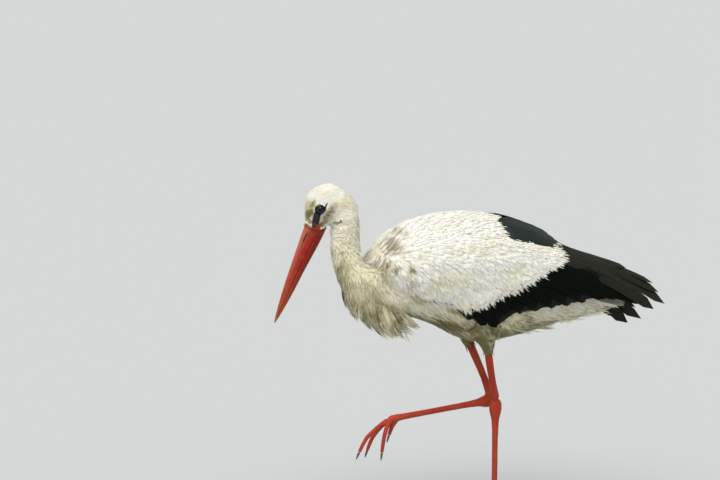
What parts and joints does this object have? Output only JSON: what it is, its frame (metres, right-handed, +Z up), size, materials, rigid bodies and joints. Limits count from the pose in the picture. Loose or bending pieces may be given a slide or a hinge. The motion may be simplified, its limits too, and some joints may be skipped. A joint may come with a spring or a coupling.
{
  "type": "white stork",
  "caption": "Life-size still model of a wading white stork: bill held down, neck drawn back, wings folded, standing on one leg with the other foot lifted.",
  "frame": {"origin": "on the floor under the standing left foot, on the flat of the middle toe's pad, straight below the tarsus", "axes": "+Z up, the bird faces -Y, its left side is +X"},
  "size_m": [0.2058, 0.6758, 0.5923],
  "materials": {
    "head_plumage": "short, close white feathers with bare blackish skin at the lores and round the eye",
    "neck_plumage": "close white feathers that lengthen down the neck",
    "body_plumage": "soft creamy white contour feathers, long and stringy on the lower neck",
    "wing_coverts": "creamy white overlapping coverts with dirty streaks",
    "tail_feathers": "white vanes with a low sheen",
    "flight_feathers": "black vanes with a faint cool sheen",
    "black_scapulars": "long black vanes with a faint cool sheen",
    "bill_upper": "red horn, smooth with fine long striations",
    "bill_lower": "red horn, smooth with fine long striations",
    "eyes": "wet, dark brown iris round a black pupil",
    "leg_skin": "red scaly skin, darker in the joints",
    "claws": "dull dark horn"
  },
  "bodies": {
    "root": {"bill_lower": "bill_lower", "bill_upper": "bill_upper", "breast": "body_plumage", "breast_hackles": "body_plumage", "claw_left_hind": "claws", "claw_left_inner": "claws", "claw_left_middle": "claws", "claw_left_outer": "claws", "claw_right_hind": "claws", "claw_right_inner": "claws", "claw_right_middle": "claws", "claw_right_outer": "claws", "eye_left": "eyes", "eye_right": "eyes", "head": "head_plumage", "neck_lower": "neck_plumage", "neck_upper": "neck_plumage", "rump": "body_plumage", "shank_left": "leg_skin", "shank_right": "leg_skin", "tail": "tail_feathers", "tarsus_left": "leg_skin", "tarsus_right": "leg_skin", "thigh_left": "body_plumage", "thigh_right": "body_plumage", "toe_left_hind": "leg_skin", "toe_left_inner": "leg_skin", "toe_left_middle": "leg_skin", "toe_left_outer": "leg_skin", "toe_right_hind": "leg_skin", "toe_right_inner": "leg_skin", "toe_right_middle": "leg_skin", "toe_right_outer": "leg_skin", "trunk": "body_plumage", "wing_left_coverts": "wing_coverts", "wing_left_primaries": "flight_feathers", "wing_left_remiges": "flight_feathers", "wing_left_scapulars": "black_scapulars", "wing_right_coverts": "wing_coverts", "wing_right_primaries": "flight_feathers", "wing_right_remiges": "flight_feathers", "wing_right_scapulars": "black_scapulars"}
  },
  "joints": []
}
